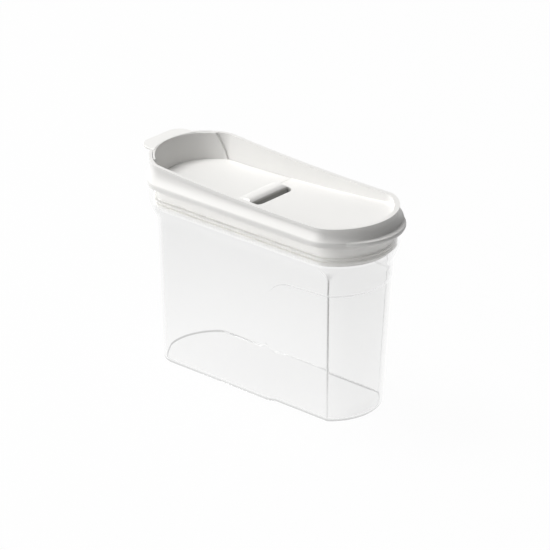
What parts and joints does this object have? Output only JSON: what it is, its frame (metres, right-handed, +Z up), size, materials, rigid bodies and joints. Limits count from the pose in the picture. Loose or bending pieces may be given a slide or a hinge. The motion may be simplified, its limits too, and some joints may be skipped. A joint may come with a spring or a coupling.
{
  "type": "cereal container with flip spout",
  "caption": "Tall narrow clear jar with a white lift-off lid; half of the lid is a hinged flap with a thumb tab that opens to pour dry food over one bowed end.",
  "frame": {"origin": "centre of the jar's flat underside, on the surface it stands on", "axes": "+Z up; +X along the length towards the end with the lift lip and the hand grip, so the spout end with the thumb tab is at -X; +Y across the width"},
  "size_m": [0.2535, 0.1006, 0.1827],
  "materials": {
    "jar_clear": "clear, polished",
    "lid_white": "satin",
    "seal_soft": "soft matt"
  },
  "bodies": {
    "jar": {"jar": "jar_clear"},
    "lid": {"lid_frame": "lid_white", "lid_seal": "seal_soft"},
    "flap": {"flap": "lid_white", "flap_seal": "seal_soft"}
  },
  "joints": [
    {"name": "lid_lift", "type": "slide", "parent": "jar", "child": "lid", "axis": [0, 0, 1], "range_m": [0, 0.06]},
    {"name": "flap_hinge", "type": "hinge", "parent": "lid", "child": "flap", "pos_m": [-0.0107, 0, 0.1593], "axis": [0, 1, 0], "range_deg": [0, 100]}
  ]
}
